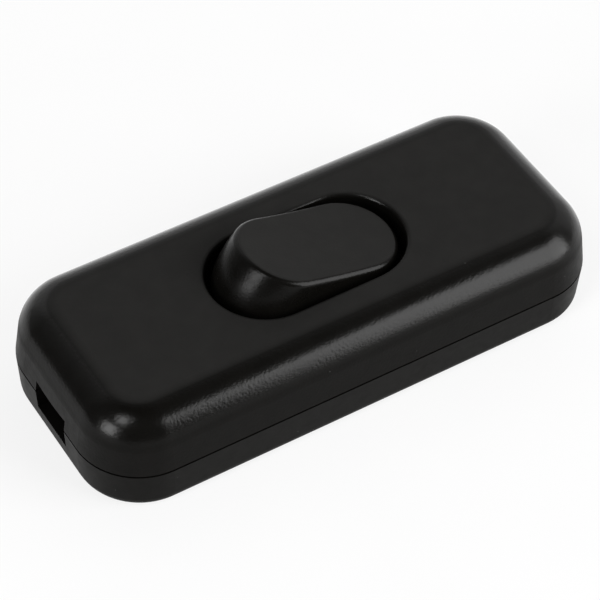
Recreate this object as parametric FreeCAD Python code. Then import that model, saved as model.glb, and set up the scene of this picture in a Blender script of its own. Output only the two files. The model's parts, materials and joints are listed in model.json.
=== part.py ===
"""Inline rocker switch for a flat two-core flex, in millimetres.

+X runs along the flex, +Y across the case and +Z up. The origin is the centre of the underside.
The rocker is modelled level about its own pivot and then turned to the position that it rests in,
with its +X end pressed down. The contact blade is made level on its bead and turned the same way."""

import FreeCAD
import Part

import math
import os

Vector = FreeCAD.Vector

# Case: overall sizes and the walls of its two drafted halves
case_length = 67.0
case_width = 28.8
case_height = 13.5
parting_height = 5.8
case_corner_radius = 8.0
cover_draft = 7.4
base_draft = 3.3
top_edge_radius = 4.8
bottom_edge_radius = 1.6
wall = 1.8
seam_gap = 0.26

# Lip on the base that lines the two halves up
lip_height = 1.2
lip_wall = 0.8
lip_clearance = 0.05

# Cord inlet at each end, half in the base and half in the cover
inlet_width = 6.8
inlet_below_seam = 2.75
inlet_above_seam = 1.65
inlet_tooth = 0.25

# Rocker window in the cover, and the collar under it that hides the inside
window_length = 24.8
window_width = 13.6
window_edge_radius = 0.6
collar_wall = 1.0
collar_drop = 3.2

# Rocker, measured from its pivot
pivot_depth = 3.7
rocker_throw = 14.5
rocker_half_length = 11.9
rocker_end_rise = 10.7
rocker_width = 12.6
rocker_side_draft = 3.0
rocker_crown = 5.2
rocker_dish_radius = 95.0
rocker_roof = 1.4
rocker_skirt = 3.0
rocker_wall = 1.3
rocker_edge_radius = 0.8

# Pivot pins on the rocker and the open bearings that hang from the cover
pin_radius = 1.2
pin_clearance = 0.05
pin_end_gap = 0.2
bearing_thickness = 1.8
bearing_length = 5.2
bearing_drop = 1.6

# Posts on the base that stop the rocker's skirt
stop_angle = 50.0
stop_radius = 0.9
stop_clearance = 0.1

# Plunger and spring in the rocker's hollow leg
leg_radius = 2.1
plunger_radius = 1.1
plunger_clearance = 0.05
plunger_guide = 3.4
plunger_reach = 1.3
plunger_gap = 0.07
spring_wire = 0.3
spring_coil_radius = 0.8
spring_turns = 4
spring_end_gap = 0.03

# Contact blade: two raised wings either side of a round bead
blade_thickness = 0.6
blade_width = 4.0
blade_half_length = 8.0
blade_rise = 10.0
blade_throw = 8.0
bead_radius = 0.9
bead_clearance = 0.08

# Contact rivets
contact_reach = 6.5
contact_radius = 1.2
contact_height = 0.45
rivet_radius = 0.6
rivet_clearance = 0.05
rivet_tail_radius = 0.9
rivet_tail_height = 0.25
contact_gap = 0.04

# Brass strips that lie on the floor of the base
strip_thickness = 0.6
strip_width = 5.0
strip_inner_end = 4.4
strip_rocker_gap = 0.6
strip_ramp = 1.2
strip_rise = 1.4
terminal_length = 6.4
saddle_floor = 0.12
saddle_length = 3.4
saddle_cheek = 0.45
cradle_gap = 0.15
cradle_wall = 0.35
cradle_rise = 0.9
cradle_length = 2.0

# Pocket that holds each terminal on the base
pocket_clearance = 0.15
pocket_wall = 0.8
pocket_rise = 0.8

# Wire clamps on the terminals
wire_clamp_width = 4.8
wire_clamp_thickness = 0.9
wire_clamp_edge = 0.3

# Through connector for the unswitched core
connector_length = 22.0
connector_width = 4.4
connector_height = 4.8
connector_bore_radius = 1.4
connector_bore_height = 2.1
connector_screw_inset = 3.4
connector_edge = 0.4
connector_gap = 0.3
connector_rib = 0.8
connector_rib_height = 2.2

# Cord clamps
clamp_setback = 8.6
clamp_screw_spacing = 11.6
clamp_pillar_radius = 2.1
clamp_pillar_height = 4.4
clamp_width = 4.6
clamp_thickness = 2.0
clamp_tooth_width = 1.2
clamp_tooth_depth = 1.0
clamp_rib_width = 1.0
clamp_rib_height = 1.4
clamp_rib_spacing = 3.0

# Bosses for the two housing screws
boss_setback = 15.7
boss_radius = 3.2
boss_embed = 0.4
boss_lip_gap = 0.3
counterbore_depth = 3.0
counterbore_clearance = 0.25

# Screws: self-tapping ones in the mouldings, machine screws in the brass
tapping_radius = 1.15
tapping_head_radius = 2.2
tapping_head_height = 1.5
machine_radius = 1.2
machine_head_radius = 1.9
machine_head_height = 1.3
thread_clearance = 0.05
hole_clearance = 0.2
screw_end_gap = 0.6
screw_recess_width = 0.6
screw_recess_length = 2.4
screw_recess_depth = 0.8

# How far an added feature sinks into the wall that it grows from, and a cut runs past a face
root = 0.3
overrun = 1.0

# Levels and places that follow from the sizes above
base_rim = parting_height - seam_gap / 2
cover_rim = parting_height + seam_gap / 2
floor_top = wall
ceiling = case_height - wall
lip_top = base_rim + lip_height
pivot = Vector(0, 0, case_height - pivot_depth)
strip_top = floor_top + strip_thickness
blade_axis = Vector(0, 0, strip_top + saddle_floor + bead_clearance + bead_radius)
terminal_start = rocker_half_length + strip_rocker_gap + strip_ramp
terminal_end = terminal_start + terminal_length
terminal_screw_x = (terminal_start + terminal_end) / 2
terminal_top = strip_top + strip_rise
bearing_inner = window_width / 2
bearing_outer = bearing_inner + bearing_thickness
inner_half_width = case_width / 2 - wall - (parting_height - floor_top) * math.tan(math.radians(base_draft))
connector_y = inner_half_width - connector_gap - connector_width / 2
connector_top = floor_top + connector_height
boss_x = case_length / 2 - boss_setback
boss_y = case_width / 2 - wall + boss_embed - boss_radius
cover_boss_radius = boss_radius - boss_embed - boss_lip_gap
clamp_x = case_length / 2 - clamp_setback
clamp_seat = floor_top + clamp_pillar_height


def tangent(degrees):
    """Tangent of an angle in degrees."""
    return math.tan(math.radians(degrees))


def block(x_low, x_high, y_low, y_high, z_low, z_high):
    """Box between two corners."""
    return Part.makeBox(x_high - x_low, y_high - y_low, z_high - z_low, Vector(x_low, y_low, z_low))


def post(radius, x, y, z_low, z_high):
    """Upright cylinder between two levels."""
    return Part.makeCylinder(radius, z_high - z_low, Vector(x, y, z_low))


def outline(length, width, radius, z):
    """Closed level wire of a rectangle with round corners, or a stadium if the radius is half the width."""
    corner_x = length / 2 - radius
    corner_y = width / 2 - radius
    arcs = []
    for quarter, (sign_x, sign_y) in enumerate([(1, 1), (-1, 1), (-1, -1), (1, -1)]):
        centre = Vector(sign_x * corner_x, sign_y * corner_y, z)
        points = []
        for step in range(3):
            angle = math.radians(90 * quarter + 45 * step)
            points.append(centre + Vector(radius * math.cos(angle), radius * math.sin(angle), 0))
        arcs.append(points)
    edges = []
    for number, points in enumerate(arcs):
        edges.append(Part.Arc(*points).toShape())
        following = arcs[(number + 1) % len(arcs)][0]
        if points[2].distanceToPoint(following) > Part.Precision.confusion():
            edges.append(Part.LineSegment(points[2], following).toShape())
    return Part.Wire(edges)


def prism(wire, height):
    """Solid made by carrying a level outline straight up."""
    return Part.Face(wire).extrude(Vector(0, 0, height))


def level_edges(shape, z):
    """Edges of a shape that lie wholly at one level."""
    found = []
    for edge in shape.Edges:
        box = edge.BoundBox
        if abs(box.ZMin - z) < 1e-4 and abs(box.ZMax - z) < 1e-4:
            found.append(edge)
    return found


def case_outline(inset, z):
    """Outline of the case in plan, drawn in from its widest section at the seam."""
    return outline(case_length - 2 * inset, case_width - 2 * inset, case_corner_radius - inset, z)


def drafted(z_low, z_high, draft, thickness):
    """Solid of the case between two levels, narrowing away from the seam, inside a wall of a thickness."""
    sections = []
    for z in (z_low, z_high):
        inset = abs(z - parting_height) * tangent(draft) + thickness
        sections.append(case_outline(inset, z))
    return Part.makeLoft(sections, True, True)


def screw(head_radius, head_height, shank_radius, length):
    """Screw with its head seated at level 0, its shank pointing down, and a cross recess in the head."""
    rim = head_height / 2
    crown_radius = head_radius - rim
    point_radius = shank_radius / 3
    corners = [
        Vector(0, 0, head_height),
        Vector(crown_radius, 0, head_height),
        Vector(head_radius, 0, rim),
        Vector(head_radius, 0, 0),
        Vector(shank_radius, 0, 0),
        Vector(shank_radius, 0, shank_radius - length),
        Vector(point_radius, 0, -length),
        Vector(0, 0, -length),
        Vector(0, 0, head_height),
    ]
    turned = Part.Face(Part.makePolygon(corners)).revolve(Vector(0, 0, 0), Vector(0, 0, 1), 360)
    half_length = screw_recess_length / 2
    half_width = screw_recess_width / 2
    recess_floor = head_height - screw_recess_depth
    for reach_x, reach_y in ((half_length, half_width), (half_width, half_length)):
        cut = block(-reach_x, reach_x, -reach_y, reach_y, recess_floor, head_height + overrun)
        turned = turned.cut(cut)
    return turned


def placed(shape, x, y, z):
    """Copy of a shape moved to a place."""
    copy = shape.copy()
    copy.translate(Vector(x, y, z))
    return copy


def inlet_cutter(side):
    """Cord inlet through one end wall, with a shallow tooth along its top edge to bite the flex."""
    inside = side * (case_length / 2 - 2 * wall)
    half = inlet_width / 2
    low = parting_height - inlet_below_seam
    high = parting_height + inlet_above_seam
    left_top = Vector(inside, -half, high)
    right_top = Vector(inside, half, high)
    tooth = Part.Arc(left_top, Vector(inside, 0, high - inlet_tooth), right_top)
    sides = Part.makePolygon([right_top, Vector(inside, half, low), Vector(inside, -half, low), left_top])
    face = Part.Face(Part.Wire([tooth.toShape()] + sides.Edges))
    return face.extrude(Vector(side * (2 * wall + overrun), 0, 0))


def housing_screw_places():
    """The two housing screws stand on a diagonal."""
    return [(boss_x, boss_y), (-boss_x, -boss_y)]


def clamp_screw_places(side):
    """The two screws of one cord clamp."""
    return [(side * clamp_x, clamp_screw_spacing / 2), (side * clamp_x, -clamp_screw_spacing / 2)]


def connector_screw_offsets():
    """Places of the connector's screws along it."""
    reach = connector_length / 2 - connector_screw_inset
    return [-reach, reach]


def rocker_reach(z):
    """Half the rocker's length at a height above its pivot: its ends follow an ellipse about the pivot."""
    return rocker_half_length * math.sqrt(1 - (z / rocker_end_rise) ** 2)


def rocker_stop_places():
    """Middle of the skirt's wall, part way round each end, when that end is down."""
    skirt_half_width = rocker_width / 2 + rocker_skirt * tangent(rocker_side_draft)
    middle_radius = skirt_half_width - rocker_wall / 2
    around = math.radians(stop_angle)
    along = rocker_reach(-rocker_skirt) - skirt_half_width + middle_radius * math.cos(around)
    across = middle_radius * math.sin(around)
    tilt = math.radians(rocker_throw)
    x = along * math.cos(tilt) - rocker_skirt * math.sin(tilt)
    return [(x, across), (x, -across), (-x, across), (-x, -across)]


def rocker_stop_top(x):
    """Level of a stop post's top: just under the skirt's lower edge when that end is down."""
    tilt = math.radians(rocker_throw)
    outer = abs(x) + stop_radius
    drop = (outer + rocker_skirt * math.sin(tilt)) * math.tan(tilt) + rocker_skirt * math.cos(tilt)
    return pivot.z - drop - stop_clearance


def make_base_shell():
    """Lower half: a drafted tray with a lip, terminal pockets, clamp pillars and screw bosses."""
    shell = drafted(0, base_rim, base_draft, 0)
    shell = shell.makeFillet(bottom_edge_radius, level_edges(shell, 0))
    shell = shell.cut(drafted(floor_top, base_rim, base_draft, wall))
    lip = prism(case_outline(wall - lip_wall, base_rim - root), lip_height + root)
    lip = lip.cut(prism(case_outline(wall, base_rim - root), lip_height + root))
    features = [lip]
    for x, y in housing_screw_places():
        features.append(post(boss_radius, x, y, floor_top - root, base_rim))
    for side in (-1, 1):
        near = side * terminal_start
        far = side * terminal_end
        x_low = min(near, far)
        x_high = max(near, far)
        seat = strip_width / 2 + pocket_clearance
        pocket_outer = seat + pocket_wall
        pocket_top = terminal_top + pocket_rise
        pocket = block(x_low, x_high, -pocket_outer, pocket_outer, floor_top - root, pocket_top)
        room = block(x_low, x_high, -seat, seat, floor_top + strip_rise, pocket_top)
        features.append(pocket.cut(room))
        for x, y in clamp_screw_places(side):
            features.append(post(clamp_pillar_radius, x, y, floor_top - root, clamp_seat))
        rib_half = clamp_screw_spacing / 2
        rib_top = floor_top + clamp_rib_height
        for offset in (-clamp_rib_spacing / 2, clamp_rib_spacing / 2):
            rib_low = side * clamp_x + offset - clamp_rib_width / 2
            rib_high = rib_low + clamp_rib_width
            features.append(block(rib_low, rib_high, -rib_half, rib_half, floor_top - root, rib_top))
    for x, y in rocker_stop_places():
        features.append(post(stop_radius, x, y, floor_top - root, rocker_stop_top(x)))
    rib_outer = connector_y - connector_width / 2 - pocket_clearance
    rib_half_length = connector_length / 2 - connector_screw_inset
    rib_inner = rib_outer - connector_rib
    rib_top = floor_top + connector_rib_height
    features.append(block(-rib_half_length, rib_half_length, rib_inner, rib_outer, floor_top - root, rib_top))
    shell = shell.fuse(features)
    for x, y in housing_screw_places():
        shell = shell.cut(post(tapping_radius + hole_clearance, x, y, -overrun, base_rim + overrun))
        head_room = tapping_head_radius + counterbore_clearance
        shell = shell.cut(post(head_room, x, y, -overrun, counterbore_depth))
    for side in (-1, 1):
        pilot = tapping_radius + thread_clearance
        for x, y in clamp_screw_places(side):
            shell = shell.cut(post(pilot, x, y, floor_top, clamp_seat + overrun))
        screw_end_room = machine_radius + hole_clearance
        seat_top = floor_top + strip_rise
        shell = shell.cut(post(screw_end_room, side * terminal_screw_x, 0, floor_top, seat_top + root))
        shell = shell.cut(inlet_cutter(side))
    return shell.removeSplitter()


def make_top_cover():
    """Upper half: a drafted shell with a full round top edge, rocker window, collar with the two bearings
    and screw bosses."""
    shell = drafted(cover_rim, case_height, cover_draft, 0)
    shell = shell.makeFillet(top_edge_radius, level_edges(shell, case_height))
    cavity = drafted(cover_rim, ceiling, cover_draft, wall)
    cavity = cavity.makeFillet(top_edge_radius - wall, level_edges(cavity, ceiling))
    shell = shell.cut(cavity)
    rebate = prism(case_outline(wall - lip_wall - lip_clearance, cover_rim), lip_top - cover_rim)
    shell = shell.cut(rebate)
    window = outline(window_length, window_width, window_width / 2, ceiling - root)
    shell = shell.cut(prism(window, wall + root + overrun))
    window_edges = []
    for edge in level_edges(shell, case_height):
        if edge.BoundBox.YMax < window_width / 2 + root and edge.BoundBox.YMin > -window_width / 2 - root:
            window_edges.append(edge)
    shell = shell.makeFillet(window_edge_radius, window_edges)
    collar_length = window_length + 2 * collar_wall
    collar_width = window_width + 2 * collar_wall
    collar_outline = outline(collar_length, collar_width, collar_width / 2, ceiling - collar_drop)
    collar = prism(collar_outline, collar_drop + root)
    half = bearing_length / 2
    bearing_low = pivot.z - bearing_drop
    collar = collar.fuse(block(-half, half, -bearing_outer, bearing_outer, bearing_low, ceiling + root))
    window_low = outline(window_length, window_width, window_width / 2, bearing_low)
    collar = collar.cut(prism(window_low, case_height))
    running = pin_radius + pin_clearance
    journal_start = Vector(0, -bearing_outer, pivot.z)
    collar = collar.cut(Part.makeCylinder(running, 2 * bearing_outer, journal_start, Vector(0, 1, 0)))
    collar = collar.cut(block(-running, running, -bearing_outer, bearing_outer, bearing_low, pivot.z))
    features = [collar]
    for x, y in housing_screw_places():
        features.append(post(cover_boss_radius, x, y, base_rim, ceiling + root))
    shell = shell.fuse(features)
    for x, y in housing_screw_places():
        shell = shell.cut(post(tapping_radius + thread_clearance, x, y, base_rim - overrun, ceiling))
    for side in (-1, 1):
        shell = shell.cut(inlet_cutter(side))
    return shell.removeSplitter()


def rocker_section(z, thickness):
    """Stadium section of the rocker at a height above its pivot, inside a wall of that thickness."""
    half_length = rocker_reach(z) - thickness
    half_width = rocker_width / 2 - z * tangent(rocker_side_draft) - thickness
    return outline(2 * half_length, 2 * half_width, half_width, z)


def rocker_loft(z_low, z_high, thickness):
    """Body of the rocker: its ends are round and its sides draw in towards the top."""
    middle = (z_low + z_high) / 2
    sections = [rocker_section(z, thickness) for z in (z_low, middle, z_high)]
    return Part.makeLoft(sections, True, False)


def plunger_tip_depth():
    """Distance from the rocker's pivot to the middle of the plunger's round tip, which clears the blade's
    valley by the plunger gap at mid travel."""
    rise = (blade_thickness / 2 + plunger_radius + plunger_gap) / math.cos(math.radians(blade_rise))
    return pivot.z - blade_axis.z - rise


def to_rest_tilt(shape):
    """Move a piece modelled about the rocker's pivot to its place, with the +X end pressed."""
    shape = shape.copy()
    shape.translate(pivot)
    shape.rotate(pivot, Vector(0, 1, 0), rocker_throw)
    return shape


def make_rocker():
    """Hollow rocker with a dished top, moulded pivot pins and a hollow leg for the plunger."""
    dish_rise = rocker_half_length ** 2 / (2 * rocker_dish_radius)
    body = rocker_loft(-rocker_skirt, rocker_crown + dish_rise, 0)
    dish_axis = Vector(0, -rocker_width, rocker_crown + rocker_dish_radius)
    dish = Part.makeCylinder(rocker_dish_radius, 2 * rocker_width, dish_axis, Vector(0, 1, 0))
    body = body.cut(dish)
    lowest = rocker_crown - Part.Precision.confusion()
    top_edges = [edge for edge in body.Edges if edge.BoundBox.ZMin > lowest]
    body = body.makeFillet(rocker_edge_radius, top_edges)
    roof = rocker_crown - rocker_roof
    body = body.cut(rocker_loft(-rocker_skirt - root, roof, rocker_wall))
    leg_end = -(plunger_tip_depth() - plunger_reach)
    features = [post(leg_radius, 0, 0, leg_end, roof + root)]
    pin_end = bearing_outer - pin_end_gap
    pin_start = rocker_width / 2 - rocker_wall / 2
    for side in (-1, 1):
        start = Vector(0, side * pin_start, 0)
        features.append(Part.makeCylinder(pin_radius, pin_end - pin_start, start, Vector(0, side, 0)))
    body = body.fuse(features)
    bore = post(plunger_radius + plunger_clearance, 0, 0, leg_end - overrun, roof)
    return to_rest_tilt(body.cut(bore).removeSplitter())


def make_plunger():
    """Round-nosed pin."""
    tip = -plunger_tip_depth()
    pin = post(plunger_radius, 0, 0, tip, tip + plunger_guide)
    nose = Part.makeSphere(plunger_radius, Vector(0, 0, tip))
    return to_rest_tilt(pin.fuse(nose).removeSplitter())


def make_plunger_spring():
    """Compression spring between the top of the plunger and the end of its bore."""
    low = plunger_guide - plunger_tip_depth() + spring_end_gap + spring_wire / 2
    high = rocker_crown - rocker_roof - spring_end_gap - spring_wire / 2
    helix = Part.makeHelix((high - low) / spring_turns, high - low, spring_coil_radius)
    wire_circle = Part.Circle(Vector(spring_coil_radius, 0, 0), Vector(0, 1, 0), spring_wire / 2)
    section = Part.Wire(wire_circle.toShape())
    coil = Part.Wire(helix.Edges).makePipeShell([section], True, True)
    coil.translate(Vector(0, 0, low))
    return to_rest_tilt(coil)


def to_blade_tilt(shape):
    """Move a piece modelled about the blade's bead to its place, with the -X wing down."""
    shape = shape.copy()
    shape.translate(blade_axis)
    shape.rotate(blade_axis, Vector(0, 1, 0), -blade_throw)
    return shape


def on_wing(shape):
    """Raise a piece that lies level along +X to the slope of the blade's wing there."""
    shape = shape.copy()
    shape.rotate(Vector(0, 0, 0), Vector(0, 1, 0), -blade_rise)
    return shape


def make_contact_blade():
    """Blade of two raised wings with a round bead under the valley, and a hole for the contact rivet."""
    half_width = blade_width / 2
    half_thickness = blade_thickness / 2
    wing = block(0, blade_half_length, -half_width, half_width, -half_thickness, half_thickness)
    end_edges = [edge for edge in wing.Edges if edge.BoundBox.XMin > blade_half_length - root]
    upright = [edge for edge in end_edges if edge.BoundBox.ZLength > half_thickness]
    wing = on_wing(wing.makeFillet(half_width / 2, upright))
    wings = wing.fuse(wing.mirror(Vector(0, 0, 0), Vector(1, 0, 0)))
    bead = Part.makeCylinder(bead_radius, blade_width, Vector(0, -half_width, 0), Vector(0, 1, 0))
    bead_top = half_thickness + bead_radius
    above = on_wing(block(0, blade_half_length, -blade_width, blade_width, half_thickness, bead_top))
    bead = bead.cut(above).cut(above.mirror(Vector(0, 0, 0), Vector(1, 0, 0)))
    lid = block(-bead_radius, bead_radius, -blade_width, blade_width, half_thickness, bead_top)
    blade = wings.fuse(bead.cut(lid))
    hole = on_wing(post(rivet_radius + rivet_clearance, contact_reach, 0, -overrun, overrun))
    return to_blade_tilt(blade.cut(hole).removeSplitter())


def make_moving_contact():
    """Rivet with its contact head under the +X wing and its tail spread over the top."""
    half_thickness = blade_thickness / 2
    head = post(contact_radius, contact_reach, 0, -half_thickness - contact_height, -half_thickness)
    shank = post(rivet_radius, contact_reach, 0, -half_thickness, half_thickness)
    tail = post(rivet_tail_radius, contact_reach, 0, half_thickness, half_thickness + rivet_tail_height)
    return to_blade_tilt(on_wing(head.fuse([shank, tail])))


def wing_level(depth, radius):
    """Lowest level that a disc reaches when its wing is down, at a depth below the middle of the blade."""
    slope = math.radians(blade_rise - blade_throw)
    middle = blade_axis.z + contact_reach * math.sin(slope) - depth * math.cos(slope)
    return middle - radius * abs(math.sin(slope))


def bent_strip(inner, side):
    """Strip that lies on the floor and steps up to its terminal at one end of the case."""
    ramp_start = terminal_start - strip_ramp
    lower = [(inner, floor_top), (ramp_start, floor_top), (terminal_start, floor_top + strip_rise)]
    lower.append((terminal_end, floor_top + strip_rise))
    upper = [(x, z + strip_thickness) for x, z in reversed(lower)]
    half_width = strip_width / 2
    corners = [Vector(side * x, -half_width, z) for x, z in lower + upper]
    profile = Part.Face(Part.makePolygon(corners + corners[:1]))
    strip = profile.extrude(Vector(0, strip_width, 0))
    tapped = machine_radius + thread_clearance
    return strip.cut(post(tapped, side * terminal_screw_x, 0, floor_top, terminal_top + overrun))


def make_common_strip():
    """Strip with the blade's saddle, the two cheeks that keep the blade in it and a stop for the -X wing."""
    half_saddle = saddle_length / 2
    half_blade = blade_width / 2
    strip = bent_strip(-half_saddle, -1)
    saddle_top = blade_axis.z - saddle_cheek
    saddle_low = strip_top - strip_thickness / 2
    saddle = block(-half_saddle, half_saddle, -half_blade, half_blade, saddle_low, saddle_top)
    groove_start = blade_axis - Vector(0, strip_width, 0)
    groove = Part.makeCylinder(bead_radius + bead_clearance, 2 * strip_width, groove_start, Vector(0, 1, 0))
    features = [saddle.cut(groove)]
    half_cradle = cradle_length / 2
    for side in (-1, 1):
        near = side * (half_blade + cradle_gap)
        far = near + side * cradle_wall
        y_low = min(near, far)
        cradle_top = blade_axis.z + cradle_rise
        features.append(block(-half_cradle, half_cradle, y_low, y_low + cradle_wall, floor_top, cradle_top))
    stop_top = wing_level(blade_thickness / 2, contact_radius) - contact_gap
    features.append(post(contact_radius, -contact_reach, 0, saddle_low, stop_top))
    return strip.fuse(features).removeSplitter()


def make_contact_strip():
    """Strip that carries the fixed contact under the +X wing."""
    strip = bent_strip(strip_inner_end, 1)
    rivet_hole = rivet_radius + rivet_clearance
    return strip.cut(post(rivet_hole, contact_reach, 0, floor_top - overrun, strip_top + overrun))


def make_fixed_contact():
    """Rivet in the contact strip, just met by the moving contact when its wing is down."""
    top = wing_level(blade_thickness / 2 + contact_height, contact_radius) - contact_gap
    head = post(contact_radius, contact_reach, 0, strip_top, top)
    return head.fuse(post(rivet_radius, contact_reach, 0, floor_top, strip_top))


def make_wire_clamp(side):
    """Square washer plate with broken edges."""
    half = wire_clamp_width / 2
    plate = block(-half, half, -half, half, 0, wire_clamp_thickness)
    plate = plate.makeChamfer(wire_clamp_edge, level_edges(plate, wire_clamp_thickness))
    plate = plate.cut(post(machine_radius + hole_clearance, 0, 0, -overrun, wire_clamp_thickness + overrun))
    return placed(plate, side * terminal_screw_x, 0, terminal_top)


def make_terminal_screws():
    """One machine screw through each wire clamp into its strip."""
    seat = terminal_top + wire_clamp_thickness
    one = screw(machine_head_radius, machine_head_height, machine_radius, seat - floor_top - screw_end_gap)
    return Part.makeCompound([placed(one, side * terminal_screw_x, 0, seat) for side in (-1, 1)])


def make_neutral_connector():
    """Brass bar bored end to end, tapped from above for two screws."""
    half_length = connector_length / 2
    y_low = connector_y - connector_width / 2
    bar = block(-half_length, half_length, y_low, y_low + connector_width, floor_top, connector_top)
    long_edges = [edge for edge in level_edges(bar, connector_top) if edge.Length > connector_width]
    bar = bar.makeFillet(connector_edge, long_edges)
    bore_start = Vector(-half_length, connector_y, floor_top + connector_bore_height)
    bar = bar.cut(Part.makeCylinder(connector_bore_radius, connector_length, bore_start, Vector(1, 0, 0)))
    tapped = machine_radius + thread_clearance
    for x in connector_screw_offsets():
        bar = bar.cut(post(tapped, x, connector_y, bore_start.z, connector_top + overrun))
    return bar


def make_neutral_screws():
    """Machine screws whose ends stand in the connector's bore."""
    length = connector_height - connector_bore_height
    one = screw(machine_head_radius, machine_head_height, machine_radius, length)
    return Part.makeCompound([placed(one, x, connector_y, connector_top) for x in connector_screw_offsets()])


def make_cord_clamp(side):
    """Round-ended bar with a rounded tooth underneath that presses the flex between the base's two ribs."""
    length = clamp_screw_spacing + clamp_width
    bar = prism(outline(length, clamp_width, clamp_width / 2, 0), clamp_thickness)
    bar.rotate(Vector(0, 0, 0), Vector(0, 0, 1), 90)
    half_tooth = clamp_tooth_width / 2
    tooth_reach = clamp_screw_spacing / 2 - clamp_pillar_radius - hole_clearance
    tooth = block(-half_tooth, half_tooth, -tooth_reach, tooth_reach, -clamp_tooth_depth, root)
    tooth_edges = [edge for edge in level_edges(tooth, -clamp_tooth_depth) if edge.Length > clamp_tooth_width]
    bar = bar.fuse(tooth.makeFillet(half_tooth / 2, tooth_edges))
    for y in (-clamp_screw_spacing / 2, clamp_screw_spacing / 2):
        bar = bar.cut(post(tapping_radius + hole_clearance, 0, y, -overrun, clamp_thickness + overrun))
    return placed(bar.removeSplitter(), side * clamp_x, 0, clamp_seat)


def make_clamp_screws():
    """Two self-tapping screws through each cord clamp into its pillars."""
    seat = clamp_seat + clamp_thickness
    one = screw(tapping_head_radius, tapping_head_height, tapping_radius, seat - floor_top - screw_end_gap)
    places = clamp_screw_places(-1) + clamp_screw_places(1)
    return Part.makeCompound([placed(one, x, y, seat) for x, y in places])


def make_housing_screws():
    """Two self-tapping screws from below, with their heads sunk in the base."""
    length = ceiling - counterbore_depth - screw_end_gap
    one = screw(tapping_head_radius, tapping_head_height, tapping_radius, length)
    one.rotate(Vector(0, 0, 0), Vector(1, 0, 0), 180)
    return Part.makeCompound([placed(one, x, y, counterbore_depth) for x, y in housing_screw_places()])


pieces = {
    "base_shell": make_base_shell(),
    "top_cover": make_top_cover(),
    "housing_screws": make_housing_screws(),
    "rocker": make_rocker(),
    "plunger": make_plunger(),
    "plunger_spring": make_plunger_spring(),
    "contact_blade": make_contact_blade(),
    "moving_contact": make_moving_contact(),
    "common_strip": make_common_strip(),
    "contact_strip": make_contact_strip(),
    "fixed_contact": make_fixed_contact(),
    "common_wire_clamp": make_wire_clamp(-1),
    "contact_wire_clamp": make_wire_clamp(1),
    "terminal_screws": make_terminal_screws(),
    "neutral_connector": make_neutral_connector(),
    "neutral_screws": make_neutral_screws(),
    "left_cord_clamp": make_cord_clamp(-1),
    "right_cord_clamp": make_cord_clamp(1),
    "clamp_screws": make_clamp_screws(),
}

os.makedirs("parts", exist_ok=True)
for name, shape in pieces.items():
    shape.exportStep(f"parts/{name}.step")
    print(name, len(shape.Solids), round(shape.Volume, 2), shape.isValid())
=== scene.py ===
import json
import math

import bpy
import numpy as np
from mathutils import Matrix, Vector


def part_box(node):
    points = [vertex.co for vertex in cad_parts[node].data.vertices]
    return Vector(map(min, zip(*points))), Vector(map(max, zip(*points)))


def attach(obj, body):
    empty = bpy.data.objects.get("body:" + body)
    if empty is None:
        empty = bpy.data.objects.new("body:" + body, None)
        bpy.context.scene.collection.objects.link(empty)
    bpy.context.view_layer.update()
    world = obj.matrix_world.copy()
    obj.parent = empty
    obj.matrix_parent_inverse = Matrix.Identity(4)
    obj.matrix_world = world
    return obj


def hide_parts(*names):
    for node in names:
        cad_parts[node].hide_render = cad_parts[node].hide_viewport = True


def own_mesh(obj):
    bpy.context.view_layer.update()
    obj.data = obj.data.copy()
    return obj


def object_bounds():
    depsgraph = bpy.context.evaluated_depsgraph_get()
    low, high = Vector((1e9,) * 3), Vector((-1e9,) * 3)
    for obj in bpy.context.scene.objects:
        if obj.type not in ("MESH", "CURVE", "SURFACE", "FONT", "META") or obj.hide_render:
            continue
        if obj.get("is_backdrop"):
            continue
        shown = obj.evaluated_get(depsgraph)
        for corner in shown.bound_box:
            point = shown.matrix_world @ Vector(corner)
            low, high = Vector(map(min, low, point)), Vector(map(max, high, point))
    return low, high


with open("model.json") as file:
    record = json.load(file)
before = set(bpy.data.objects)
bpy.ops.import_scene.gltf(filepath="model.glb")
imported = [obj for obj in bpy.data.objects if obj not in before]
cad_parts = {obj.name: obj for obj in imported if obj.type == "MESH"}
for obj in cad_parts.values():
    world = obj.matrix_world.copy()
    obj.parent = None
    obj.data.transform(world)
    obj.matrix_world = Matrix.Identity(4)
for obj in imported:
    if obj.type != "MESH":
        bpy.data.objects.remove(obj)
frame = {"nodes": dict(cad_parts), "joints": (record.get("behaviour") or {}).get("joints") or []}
cad_low, cad_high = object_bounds()


# Base shell: the lower half of the case, a thin tray injection moulded in black ABS. Its tool is spark
# eroded, which leaves a fine satin grain all over. Every other piece is dropped or screwed into it.

mm = 0.001
nodes = frame["nodes"]

case_black = (0.0027, 0.0025, 0.0021, 1)
case_black_light = (0.0037, 0.0034, 0.0029, 1)
shade_clouds_per_metre = 420
gloss_clouds_per_metre = 900
grain_per_metre = 3200

dust_grey = (0.07, 0.07, 0.068, 1)
dust_cells_per_metre = 300
dust_share_of_cell = 0.022

clouds_low = 0.3
clouds_high = 0.7


def start_material(name):
    """New node material that knows the places on its piece."""
    material = bpy.data.materials.new(name)
    material.use_nodes = True
    material.node_tree.nodes.new("ShaderNodeTexCoord")
    return material


def parts_of(material):
    """A material's node tree, its shader and the socket of places on the piece."""
    tree = material.node_tree
    return tree, tree.nodes["Principled BSDF"], tree.nodes["Texture Coordinate"].outputs["Object"]


def clouds(tree, places, per_metre, detail=2.0):
    """Soft random clouds, so many to the metre: the socket of a value that wanders about one half."""
    noise = tree.nodes.new("ShaderNodeTexNoise")
    noise.inputs["Scale"].default_value = per_metre
    noise.inputs["Detail"].default_value = detail
    tree.links.new(places, noise.inputs["Vector"])
    return noise.outputs["Fac"]


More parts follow.
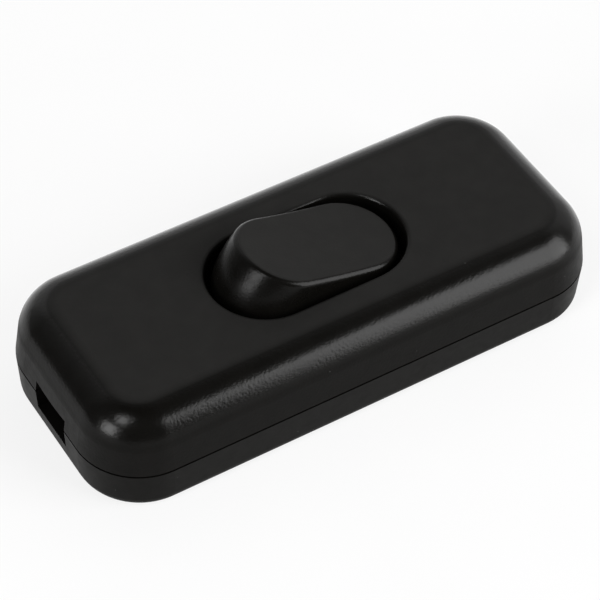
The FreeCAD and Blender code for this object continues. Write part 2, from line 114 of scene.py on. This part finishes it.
def between(tree, value, limits, socket):
    """Carry a wandering value to a number socket, as a number between two limits."""
    spread = tree.nodes.new("ShaderNodeMapRange")
    spread.inputs["From Min"].default_value = clouds_low
    spread.inputs["From Max"].default_value = clouds_high
    spread.inputs["To Min"].default_value = limits[0]
    spread.inputs["To Max"].default_value = limits[1]
    tree.links.new(value, spread.inputs["Value"])
    tree.links.new(spread.outputs["Result"], socket)


def shades(tree, value, dark, light):
    """The socket of a colour that a wandering value takes from a dark to a light shade."""
    ramp = tree.nodes.new("ShaderNodeValToRGB")
    first, last = ramp.color_ramp.elements
    first.position = clouds_low
    first.color = dark
    last.position = clouds_high
    last.color = light
    tree.links.new(value, ramp.inputs["Fac"])
    return ramp.outputs["Color"]


def share_from(tree, value, low, high):
    """The socket of a share that goes from 0 to 1 while a value goes from one limit to the other."""
    rise = tree.nodes.new("ShaderNodeMapRange")
    rise.inputs["From Min"].default_value = low
    rise.inputs["From Max"].default_value = high
    tree.links.new(value, rise.inputs["Value"])
    return rise.outputs["Result"]


def mixed(tree, share, first, second, kind):
    """The socket of a mix of two numbers or colours by a share. Each is a socket or a constant."""
    mix = tree.nodes.new("ShaderNodeMix")
    mix.data_type = {"Float": "FLOAT", "Color": "RGBA"}[kind]
    ports = {port.identifier: port for port in [*mix.inputs, *mix.outputs]}
    tree.links.new(share, ports["Factor_Float"])
    for port, source in ((ports["A_" + kind], first), (ports["B_" + kind], second)):
        if isinstance(source, bpy.types.NodeSocket):
            tree.links.new(source, port)
        else:
            port.default_value = source
    return ports["Result_" + kind]


def moulded_shade(tree, places, dark, light):
    """The socket of a plastic's colour: two shades in clouds, with stray specks of dust. A speck is the
    middle of a random cell, where the distance from that middle is a small share of the cell."""
    shade = shades(tree, clouds(tree, places, shade_clouds_per_metre), dark, light)
    cells = tree.nodes.new("ShaderNodeTexVoronoi")
    cells.inputs["Scale"].default_value = dust_cells_per_metre
    tree.links.new(places, cells.inputs["Vector"])
    speck = share_from(tree, cells.outputs["Distance"], dust_share_of_cell, dust_share_of_cell / 2)
    return mixed(tree, speck, shade, dust_grey, "Color")


def relief(tree, value, depth, shader):
    """Raise and sink the surface by a wandering value, to a depth in metres."""
    bump = tree.nodes.new("ShaderNodeBump")
    bump.inputs["Distance"].default_value = depth
    tree.links.new(value, bump.inputs["Height"])
    tree.links.new(bump.outputs["Normal"], shader.inputs["Normal"])


def satin_moulding(name, dark, light, gloss, shine, grain_depth):
    """Moulded plastic: a nearly even shade with stray dust, a gloss that drifts between two limits, and
    the spark-eroded grain of its tool."""
    material = start_material(name)
    tree, shader, places = parts_of(material)
    tree.links.new(moulded_shade(tree, places, dark, light), shader.inputs["Base Color"])
    between(tree, clouds(tree, places, gloss_clouds_per_metre, 4.0), gloss, shader.inputs["Roughness"])
    relief(tree, clouds(tree, places, grain_per_metre, 3.0), grain_depth, shader)
    shader.inputs["Specular IOR Level"].default_value = shine
    return material


def finish_nodes(material, *names):
    """Give CAD nodes a material."""
    for name in names:
        nodes[name].material_slots[0].material = material


base_plastic = satin_moulding("black_base_plastic", case_black, case_black_light,
                              gloss=(0.40, 0.48), shine=0.055, grain_depth=0.006 * mm)
finish_nodes(base_plastic, "base_shell")


# Contact strips: pressed from half-hard brass sheet and dropped on to the floor of the base. Rolling
# leaves faint streaks along them, and handling leaves a light brown tarnish.

brass_bright = (0.78, 0.56, 0.25, 1)
brass_tarnished = (0.52, 0.33, 0.12, 1)
tarnish_clouds_per_metre = 350
streaks_per_metre = 5200
streak_stretch = 14


def stretched(tree, places, factor):
    """Places drawn out along X by a factor, so that clouds turn into streaks."""
    mapping = tree.nodes.new("ShaderNodeMapping")
    mapping.inputs["Scale"].default_value = (1 / factor, 1, 1)
    tree.links.new(places, mapping.inputs["Vector"])
    return mapping.outputs["Vector"]


def rolled_metal(name, dull, bright, gloss, streak_depth):
    """Rolled or drawn metal: two shades in clouds, and streaks along X that also drift its gloss."""
    material = start_material(name)
    tree, shader, places = parts_of(material)
    streaks = clouds(tree, stretched(tree, places, streak_stretch), streaks_per_metre, 3.0)
    shade = shades(tree, clouds(tree, places, tarnish_clouds_per_metre, 4.0), dull, bright)
    tree.links.new(shade, shader.inputs["Base Color"])
    between(tree, streaks, gloss, shader.inputs["Roughness"])
    relief(tree, streaks, streak_depth, shader)
    shader.inputs["Metallic"].default_value = 1.0
    return material


brass = rolled_metal("rolled_brass", brass_tarnished, brass_bright,
                     gloss=(0.22, 0.38), streak_depth=0.002 * mm)
finish_nodes(brass, "common_strip", "contact_strip")


# Contact rivets: fine silver, headed cold into the contact strip and the blade, where they meet when the
# switch closes. Silver sulphide clouds them brown.

silver_bright = (0.90, 0.88, 0.84, 1)
silver_tarnished = (0.62, 0.56, 0.47, 1)
contact_silver = rolled_metal("contact_silver", silver_tarnished, silver_bright,
                              gloss=(0.16, 0.30), streak_depth=0.001 * mm)
finish_nodes(contact_silver, "fixed_contact", "moving_contact")


# Wire clamps: square washers, blanked from steel sheet and zinc plated. A terminal screw presses each of
# them down on a stripped core.

zinc_grey = (0.48, 0.50, 0.53, 1)
zinc_bright = (0.68, 0.70, 0.73, 1)
plated_steel = rolled_metal("zinc_plated_steel", zinc_grey, zinc_bright,
                            gloss=(0.24, 0.38), streak_depth=0.002 * mm)
finish_nodes(plated_steel, "common_wire_clamp", "contact_wire_clamp")


# Terminal screws: machine screws of plated steel, rolled with a fine thread and headed with a cross
# recess. Each goes through its wire clamp into the tapped end of a strip.

low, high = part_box("terminal_screws")
machine_head_radius = (high.y - low.y) / 2
machine_head_height = 1.3 * mm
machine_thread_radius = 1.2 * mm
machine_thread_depth = 0.2 * mm
machine_pitch = 0.45 * mm


def screw_surface(head_radius, head_height, thread_radius, thread_depth, pitch, length):
    """One screw as rings of points, from the middle of its recess to the middle of its end. Its seat is
    at level 0 and its shank points down.

    Recess: the outline of a cross in polar form, the nearer of an arm's end and an arm's side at each
    angle, on a floor that rises with the square of the way out. Head: a superellipse of power 3 from the
    edge of the recess to the rim. Thread: a radius that falls from crest to root by a triangle wave of the
    height over the pitch plus the angle over a turn, with flat crests and roots, after a plain neck. It
    shrinks to a third over the last part of the shank."""
    angle = np.linspace(0, 2 * math.pi, 96, endpoint=False)
    arm_length = 0.56 * head_radius
    arm_half_width = 0.14 * head_radius
    recess_depth = 0.5 * head_height
    floor_rise = 0.35 * recess_depth
    folded = np.abs((angle + math.pi / 4) % (math.pi / 2) - math.pi / 4)
    side_reach = arm_half_width / np.maximum(np.sin(folded), 1e-6)
    recess_edge = np.minimum(arm_length / np.cos(folded), side_reach)

    way_out = np.array([0.0, 0.5, 0.94])[:, None]
    floor_radius = way_out * recess_edge
    floor_level = np.broadcast_to(head_height - recess_depth + floor_rise * way_out ** 2, floor_radius.shape)

    dome_rings = 16
    start = np.arcsin((recess_edge / head_radius) ** 1.5)
    lean = start + np.linspace(0, 1, dome_rings)[:, None] * (math.pi / 2 - start)
    dome_radius = head_radius * np.sin(lean) ** (2 / 3)
    dome_level = head_height * np.maximum(np.cos(lean), 0) ** (2 / 3)

    rings_per_pitch = 9
    plain_neck = 0.6 * pitch
    flat = 0.15
    depth = np.linspace(0, length, int(length / pitch * rings_per_pitch))[:, None]
    wave = np.abs((depth / pitch + angle / (2 * math.pi)) % 1 * 2 - 1)
    crest = np.clip((1 + 2 * flat) * wave - flat, 0, 1) * np.clip((depth - plain_neck) / pitch, 0, 1)
    taper = 1 - np.clip((depth - length) / thread_radius + 1, 0, 1) * 2 / 3
    shank_radius = (thread_radius - thread_depth * (1 - crest)) * taper
    shank_level = np.broadcast_to(-depth, shank_radius.shape)

    centre = np.zeros((1, angle.size))
    radius = np.vstack([floor_radius, dome_radius, shank_radius, centre])
    level = np.vstack([floor_level, dome_level, shank_level, centre - length])
    return np.stack([radius * np.cos(angle), radius * np.sin(angle), level], axis=-1)


def machine_screw(length):
    """A machine screw of the given length under its head."""
    return screw_surface(machine_head_radius, machine_head_height, machine_thread_radius,
                         machine_thread_depth, machine_pitch, length)


def rings_to_mesh(name, rings, places, material):
    """One mesh from a set of rings that is repeated at several places: quads join each ring to the next and
    close round, and the first and last ring, which have no size, are merged to a point."""
    rows, columns = rings.shape[:2]
    number = np.arange(rows * columns).reshape(rows, columns)
    following = np.roll(number, -1, axis=1)
    quads = np.stack([number[:-1], number[1:], following[1:], following[:-1]], axis=-1).reshape(-1, 4)
    points = rings.reshape(-1, 3) + np.array(places)[:, None]
    faces = quads + number.size * np.arange(len(places))[:, None, None]
    mesh = bpy.data.meshes.new(name)
    mesh.from_pydata(points.reshape(-1, 3).tolist(), [], faces.reshape(-1, 4).tolist())
    piece = bpy.data.objects.new(name, mesh)
    bpy.context.scene.collection.objects.link(piece)
    merge = piece.modifiers.new("poles", "WELD")
    merge.merge_threshold = 0.0005 * mm
    mesh.materials.append(material)
    mesh.shade_smooth()
    mesh.set_sharp_from_angle(angle=math.radians(40))
    return piece


terminal_seat = high.z - machine_head_height
terminal_x = high.x - machine_head_radius
terminal_places = [(-terminal_x, 0, terminal_seat), (terminal_x, 0, terminal_seat)]
terminal_screws = rings_to_mesh("threaded_terminal_screws", machine_screw(terminal_seat - low.z),
                                terminal_places, plated_steel)
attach(terminal_screws, "case")
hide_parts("terminal_screws")


# Neutral connector: a length of extruded brass bar, bored through for the core that isn't switched. It lies
# loose on the base's floor, between the side wall and a rib.

finish_nodes(brass, "neutral_connector")


# Neutral screws: two more of the plated machine screws, tapped into the connector from above. Their ends
# stand in its bore and grip the core.

low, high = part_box("neutral_screws")
neutral_seat = high.z - machine_head_height
neutral_x = high.x - machine_head_radius
neutral_y = (low.y + high.y) / 2
neutral_places = [(-neutral_x, neutral_y, neutral_seat), (neutral_x, neutral_y, neutral_seat)]
neutral_screws = rings_to_mesh("threaded_neutral_screws", machine_screw(neutral_seat - low.z),
                               neutral_places, plated_steel)
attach(neutral_screws, "case")
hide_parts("neutral_screws")


# Contact blade: springy brass strip, pressed to a shallow V with a round bead under its valley. It isn't
# fixed: it rocks on its bead in the saddle of the common strip, and the plunger holds it there.

finish_nodes(brass, "contact_blade")


# Cord clamps: plain bars moulded in the same black plastic, left a little glossier from a polished tool.
# Each is screwed down at both ends on to two pillars of the base.

clamp_plastic = satin_moulding("black_clamp_plastic", case_black, case_black_light,
                               gloss=(0.20, 0.26), shine=0.17, grain_depth=0.001 * mm)
finish_nodes(clamp_plastic, "left_cord_clamp", "right_cord_clamp")


# Clamp screws: four self-tapping screws of plated steel with a coarse thread, two to a clamp. They cut
# their own thread in the plastic of the pillars.

tapping_head_radius = 2.2 * mm
tapping_head_height = 1.5 * mm
tapping_thread_radius = 1.15 * mm
tapping_thread_depth = 0.32 * mm
tapping_pitch = 0.9 * mm


def tapping_screw(length):
    """A self-tapping screw of the given length under its head."""
    return screw_surface(tapping_head_radius, tapping_head_height, tapping_thread_radius,
                         tapping_thread_depth, tapping_pitch, length)


low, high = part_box("clamp_screws")
clamp_seat = high.z - tapping_head_height
clamp_x = high.x - tapping_head_radius
clamp_y = high.y - tapping_head_radius
clamp_places = [(x, y, clamp_seat) for x in (-clamp_x, clamp_x) for y in (-clamp_y, clamp_y)]
clamp_screws = rings_to_mesh("threaded_clamp_screws", tapping_screw(clamp_seat - low.z),
                             clamp_places, plated_steel)
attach(clamp_screws, "case")
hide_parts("clamp_screws")


# Rocker: moulded in the same black as the case, from a slightly finer tool. It snaps into the cover's
# bearings. Fingers have polished its rim. Its dished face is left blank and matt, and painted a paler black:
# a painted reflection of the pale wall behind.

joints = {joint["name"]: joint for joint in frame["joints"]}
pivot = np.array(joints["rocker_tilt"]["pos_m"])
leg_axis = np.array(joints["plunger_press"]["axis"])
pivot_height = pivot @ leg_axis

rocker_wall_top = pivot_height + 4.0 * mm
rocker_polish_start = pivot_height + 5.0 * mm
rocker_crown = 5.2 * mm
dish_radius = 95.0 * mm
dish_middle = pivot + (rocker_crown + dish_radius) * leg_axis
dish_rim_depth = 0.09 * mm
dish_face_depth = 0.01 * mm

# Paler blacks for the level faces of the rocker and the cover: a painted reflection of the pale wall behind.
face_painted_reflection_dark = (0.0142, 0.0138, 0.0132, 1)
face_painted_reflection_light = (0.0162, 0.0158, 0.0150, 1)
face_roughness = 0.65


def vector_step(tree, operation, first, second=(0, 0, 0)):
    """One step of vector arithmetic: the node that does it."""
    step = tree.nodes.new("ShaderNodeVectorMath")
    step.operation = operation
    step.inputs[1].default_value = second
    tree.links.new(first, step.inputs[0])
    return step


def height_share(material, upward, low, high):
    """The share that a place on a piece has from its height, measured along an upward direction."""
    tree, shader, places = parts_of(material)
    height = vector_step(tree, "DOT_PRODUCT", places, upward).outputs["Value"]
    return share_from(tree, height, low, high)


def dish_share(material, rim_depth, face_depth):
    """The share that a place on the rocker has from its depth under the dished face, which is its distance
    from the dish's middle line, less the dish's radius."""
    tree, shader, places = parts_of(material)
    outward = vector_step(tree, "SUBTRACT", places, dish_middle).outputs["Vector"]
    across = vector_step(tree, "MULTIPLY", outward, (1, 0, 1)).outputs["Vector"]
    distance = vector_step(tree, "LENGTH", across).outputs["Value"]
    return share_from(tree, distance, dish_radius + rim_depth, dish_radius + face_depth)


def go_over(tree, share, socket, target):
    """Let a shader's number or colour go over, by a share, from what it is to a target."""
    present = socket.links[0].from_socket if socket.is_linked else socket.default_value
    kind = "Color" if socket.type == "RGBA" else "Float"
    tree.links.new(mixed(tree, share, present, target, kind), socket)


def polish(material, share, roughness, coat_ior):
    """Give a share of a moulding the polish of handling: a finer gloss, and a thin coat that follows the
    same grain."""
    tree, shader, places = parts_of(material)
    go_over(tree, share, shader.inputs["Roughness"], roughness)
    go_over(tree, share, shader.inputs["Coat Weight"], 1.0)
    tree.links.new(shader.inputs["Normal"].links[0].from_socket, shader.inputs["Coat Normal"])
    shader.inputs["Coat Roughness"].default_value = roughness
    shader.inputs["Coat IOR"].default_value = coat_ior


def matt_face_with_painted_reflection(material, bare, painted_reflection):
    """Leave a share of a moulding bare of polish, and paint a share of it a paler grey, a painted reflection
    of the pale wall behind.
    """
    tree, shader, places = parts_of(material)
    go_over(tree, bare, shader.inputs["Roughness"], face_roughness)
    go_over(tree, bare, shader.inputs["Coat Weight"], 0.0)
    # Painted reflection: the moulding's shades and dust in a paler black.
    painted_reflection_colour = moulded_shade(tree, places, face_painted_reflection_dark, face_painted_reflection_light)
    go_over(tree, painted_reflection, shader.inputs["Base Color"], painted_reflection_colour)


rocker_plastic = satin_moulding("black_rocker_plastic", case_black, case_black_light,
                                gloss=(0.24, 0.32), shine=0.098, grain_depth=0.016 * mm)
rocker_rim = height_share(rocker_plastic, leg_axis, rocker_wall_top, rocker_polish_start)
polish(rocker_plastic, rocker_rim, roughness=0.24, coat_ior=1.095)
rocker_face = dish_share(rocker_plastic, dish_rim_depth, dish_face_depth)
# The dished face is left matt and painted paler, a painted reflection of the pale wall behind.
matt_face_with_painted_reflection(rocker_plastic, bare=rocker_face, painted_reflection=rocker_face)
finish_nodes(rocker_plastic, "rocker")


# Plunger: a pin with a round nose, turned from natural nylon. It slides in the rocker's hollow leg and
# rides over the blade, which it tips from one side to the other.

nylon_cream = (0.72, 0.68, 0.58, 1)
nylon_pale = (0.80, 0.77, 0.69, 1)
plunger_nylon = satin_moulding("natural_nylon", nylon_cream, nylon_pale,
                               gloss=(0.38, 0.48), shine=0.5, grain_depth=0.002 * mm)
finish_nodes(plunger_nylon, "plunger")


# Plunger spring: hard-drawn spring wire, coiled open, cut square and left bare. It stands on the plunger in
# the rocker's hollow leg, and shortens when the plunger is pressed.

wire_grey = (0.28, 0.28, 0.29, 1)
wire_bright = (0.50, 0.50, 0.51, 1)
spring_steel = rolled_metal("hard_drawn_wire", wire_grey, wire_bright,
                            gloss=(0.25, 0.40), streak_depth=0.001 * mm)

spring_wire = 0.3 * mm
spring_coil_radius = 0.8 * mm
spring_turns = 4


def heights_on_leg(name):
    """The lowest and highest point of a CAD node, measured from the pivot along the rocker's leg."""
    corners = nodes[name].data.vertices
    points = np.empty(3 * len(corners))
    corners.foreach_get("co", points)
    heights = (points.reshape(-1, 3) - pivot) @ leg_axis
    return heights.min(), heights.max()


def coil_surface(low, high):
    """Round wire carried along a helix about the leg, whose middle line climbs evenly from low to high. Each
    ring lies in the plane of the outward direction and its square to the wire. A ring without size at each
    end closes the cut."""
    rings_per_turn = 28
    points_per_ring = 12
    angle = np.linspace(0, 2 * math.pi * spring_turns, rings_per_turn * spring_turns)
    none = np.zeros_like(angle)
    outward = np.stack([np.cos(angle), np.sin(angle), none], axis=-1)
    climb = (high - low) / angle[-1]
    along = np.stack([-np.sin(angle), np.cos(angle), none + climb / spring_coil_radius], axis=-1)
    along /= np.linalg.norm(along, axis=-1, keepdims=True)
    square = np.cross(outward, along)
    middle = spring_coil_radius * outward + np.stack([none, none, low + climb * angle], axis=-1)
    around = np.linspace(0, 2 * math.pi, points_per_ring, endpoint=False)[:, None]
    spokes = np.cos(around) * outward[:, None] + np.sin(around) * square[:, None]
    rings = middle[:, None] + spring_wire / 2 * spokes
    first, last = [np.repeat(middle[[end], None], points_per_ring, axis=1) for end in (0, -1)]
    sideways = np.array([0.0, 1.0, 0.0])
    lengthways = np.cross(sideways, leg_axis)
    return np.concatenate([first, rings, last]) @ np.stack([lengthways, sideways, leg_axis])


spring_low, spring_high = heights_on_leg("plunger_spring")
spring_rings = coil_surface(spring_low + spring_wire / 2, spring_high - spring_wire / 2)
plunger_spring = rings_to_mesh("coiled_plunger_spring", spring_rings, [pivot], spring_steel)
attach(plunger_spring, "rocker")
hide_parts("plunger_spring")
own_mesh(plunger_spring)


# Top cover: the upper half of the case, moulded like the base in the same plastic. Hands have polished its
# round edge. Its level face is left matt and painted a paler black, a painted reflection of the pale wall
# behind. It drops over the base's lip, and the seam shows as a thin dark line.

cover_wall_top = 10.0 * mm
cover_polish_start = 11.5 * mm
cover_polish_end = 13.25 * mm
cover_bare_start = 13.48 * mm
cover_painted_reflection_start = 13.36 * mm
cover_face = 13.5 * mm
straight_up = (0, 0, 1)

cover_plastic = satin_moulding("black_cover_plastic", case_black, case_black_light,
                               gloss=(0.40, 0.48), shine=0.072, grain_depth=0.020 * mm)
cover_edge = height_share(cover_plastic, straight_up, cover_wall_top, cover_polish_start)
polish(cover_plastic, cover_edge, roughness=0.20, coat_ior=1.2)
cover_bare = height_share(cover_plastic, straight_up, cover_polish_end, cover_bare_start)
# Painted reflection: the level face is painted a paler black from this height up.
cover_painted_reflection = height_share(cover_plastic, straight_up, cover_painted_reflection_start, cover_face)
matt_face_with_painted_reflection(cover_plastic, cover_bare, cover_painted_reflection)
finish_nodes(cover_plastic, "top_cover")


# Housing screws: two of the plated self-tapping screws, driven up from sunk holes in the underside. They
# bite into bosses of the cover and hold the case shut.

low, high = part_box("housing_screws")
housing_seat = low.z + tapping_head_height
housing_x = high.x - tapping_head_radius
housing_y = high.y - tapping_head_radius
housing_places = [(housing_x, housing_y, housing_seat), (-housing_x, -housing_y, housing_seat)]
half_turn_about_x = np.array([1, -1, -1])
housing_screw = tapping_screw(high.z - housing_seat) * half_turn_about_x
housing_screws = rings_to_mesh("threaded_housing_screws", housing_screw, housing_places, plated_steel)
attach(housing_screws, "case")
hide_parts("housing_screws")


# Table: a plain sheet of matt white paper that the switch lies on. It is lit a little from below, as product
# tables are, so that it stays white to its edges.

table_half_size = 3.0
table_points_per_side = 9
table_white = (0.86, 0.86, 0.86, 1)
table_white_light = (0.90, 0.90, 0.90, 1)
paper_clouds_per_metre = 40
table_backlight = 0.8


def table_surface():
    """Square level grid at the height of the switch's underside."""
    span = np.linspace(-table_half_size, table_half_size, table_points_per_side)
    x, y = np.meshgrid(span, span)
    points = np.stack([x, y, np.full_like(x, cad_low.z)], axis=-1)
    number = np.arange(x.size).reshape(x.shape)
    quads = np.stack([number[:-1, :-1], number[:-1, 1:], number[1:, 1:], number[1:, :-1]], axis=-1)
    return points.reshape(-1, 3).tolist(), quads.reshape(-1, 4).tolist()


def backlit_paper(name):
    """Matt white paper that mixes a glow into what the camera, mirrors and clear pieces see of it."""
    material = start_material(name)
    tree, shader, places = parts_of(material)
    shade = shades(tree, clouds(tree, places, paper_clouds_per_metre), table_white, table_white_light)
    tree.links.new(shade, shader.inputs["Base Color"])
    shader.inputs["Roughness"].default_value = 0.9
    shader.inputs["Specular IOR Level"].default_value = 0.0
    rays = tree.nodes.new("ShaderNodeLightPath")
    seen = rays.outputs["Is Camera Ray"]
    for kind in ("Is Glossy Ray", "Is Transmission Ray"):
        either = tree.nodes.new("ShaderNodeMath")
        tree.links.new(seen, either.inputs[0])
        tree.links.new(rays.outputs[kind], either.inputs[1])
        seen = either.outputs["Value"]
    glow_share = tree.nodes.new("ShaderNodeMapRange")
    glow_share.inputs["To Max"].default_value = table_backlight
    tree.links.new(seen, glow_share.inputs["Value"])
    glow = tree.nodes.new("ShaderNodeEmission")
    blend = tree.nodes.new("ShaderNodeMixShader")
    tree.links.new(glow_share.outputs["Result"], blend.inputs["Fac"])
    tree.links.new(shader.outputs["BSDF"], blend.inputs[1])
    tree.links.new(glow.outputs["Emission"], blend.inputs[2])
    tree.links.new(blend.outputs["Shader"], tree.nodes["Material Output"].inputs["Surface"])
    return material


table_points, table_faces = table_surface()
table_mesh = bpy.data.meshes.new("white_table")
table_mesh.from_pydata(table_points, [], table_faces)
table_mesh.materials.append(backlit_paper("white_paper"))
table = bpy.data.objects.new("white_table", table_mesh)
bpy.context.scene.collection.objects.link(table)
table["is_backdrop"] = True


# Studio: three soft boxes, one at the front right and two at the left. A pale wall stands behind and at the
# right, darkens towards the left and ends under a dark ceiling.

box_distance = 1.0


def direction(azimuth, elevation):
    """Unit vector out from the switch, with azimuth 0 towards -Y and 90 towards +X."""
    turn = math.radians(azimuth)
    rise = math.radians(elevation)
    return Vector((math.sin(turn) * math.cos(rise), -math.cos(turn) * math.cos(rise), math.sin(rise)))


def soft_box(name, azimuth, elevation, wide, high, brightness):
    """Lamp that faces the switch and spans the given angles, with a surface of the given brightness."""
    lamp = bpy.data.lights.new(name, "AREA")
    lamp.shape = "RECTANGLE"
    lamp.size = 2 * box_distance * math.tan(math.radians(wide / 2))
    lamp.size_y = 2 * box_distance * math.tan(math.radians(high / 2))
    lamp.energy = brightness * math.pi * lamp.size * lamp.size_y
    outward = direction(azimuth, elevation)
    holder = bpy.data.objects.new(name, lamp)
    holder.location = outward * box_distance
    holder.rotation_euler = outward.to_track_quat("Z", "Y").to_euler()
    holder.visible_camera = False
    bpy.context.scene.collection.objects.link(holder)


soft_box("front_right_soft_box", azimuth=41.2, elevation=20.3, wide=37.6, high=51.5, brightness=6.6)
soft_box("left_soft_box", azimuth=-78.5, elevation=18.5, wide=22, high=27, brightness=9.8)
soft_box("upper_left_soft_box", azimuth=-68, elevation=52, wide=14, high=21, brightness=8.7)

wall_azimuth = 142
wall_by_height = [(0.0, 0.70), (0.17, 0.78), (0.34, 0.86), (0.55, 0.95),
                  (0.73, 1.0), (0.82, 0.73), (0.90, 0.45), (0.97, 0.12)]
wall_by_turn = [(0.0, 0.12), (0.10, 0.28), (0.41, 0.45), (0.64, 1.0)]


def greys(tree, value, stops):
    """The socket of a grey that goes through the given stops, each a position and a shade."""
    ramp = tree.nodes.new("ShaderNodeValToRGB")
    while len(ramp.color_ramp.elements) < len(stops):
        ramp.color_ramp.elements.new(1.0)
    for element, (position, grey) in zip(ramp.color_ramp.elements, stops):
        element.position = position
        element.color = (grey, grey, grey, 1)
    tree.links.new(value, ramp.inputs["Fac"])
    return ramp.outputs["Color"]


world = bpy.data.worlds.new("studio")
bpy.context.scene.world = world
world.use_nodes = True
tree = world.node_tree
background = tree.nodes["Background"]
outward = tree.nodes.new("ShaderNodeTexCoord").outputs["Generated"]
height = vector_step(tree, "DOT_PRODUCT", outward, straight_up).outputs["Value"]
flattened = vector_step(tree, "MULTIPLY", outward, (1, 1, 0)).outputs["Vector"]
compass = vector_step(tree, "NORMALIZE", flattened).outputs["Vector"]
turn = vector_step(tree, "DOT_PRODUCT", compass, direction(wall_azimuth, 0)).outputs["Value"]
tree.links.new(greys(tree, height, wall_by_height), background.inputs["Color"])
tree.links.new(greys(tree, turn, wall_by_turn), background.inputs["Strength"])
bpy.context.scene.view_settings.view_transform = "Standard"


# Camera: a long lens that looks down on the switch from the front left. Its place, its slight roll and its
# shift put the case's edges where the photograph has them.

camera_azimuth = -33.01
camera_elevation = 47.5
camera_roll = 2.06
camera_distance = 0.2956
aim = Vector((0, 0, 8.0 * mm))

camera_data = bpy.data.cameras.new("camera")
camera_data.lens = 152.8
camera_data.shift_x = -0.0088
camera_data.shift_y = -0.022
backward = direction(camera_azimuth, camera_elevation)
level_right = Vector(straight_up).cross(backward).normalized()
rightward = Matrix.Rotation(math.radians(camera_roll), 3, backward) @ level_right
upward = backward.cross(rightward)
camera_turn = Matrix((rightward, upward, backward)).transposed().to_4x4()
camera = bpy.data.objects.new("camera", camera_data)
camera.matrix_world = Matrix.Translation(aim + backward * camera_distance) @ camera_turn
bpy.context.scene.collection.objects.link(camera)
bpy.context.scene.camera = camera


# Size: the box round the finished switch, beside the box round the CAD.

low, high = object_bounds()
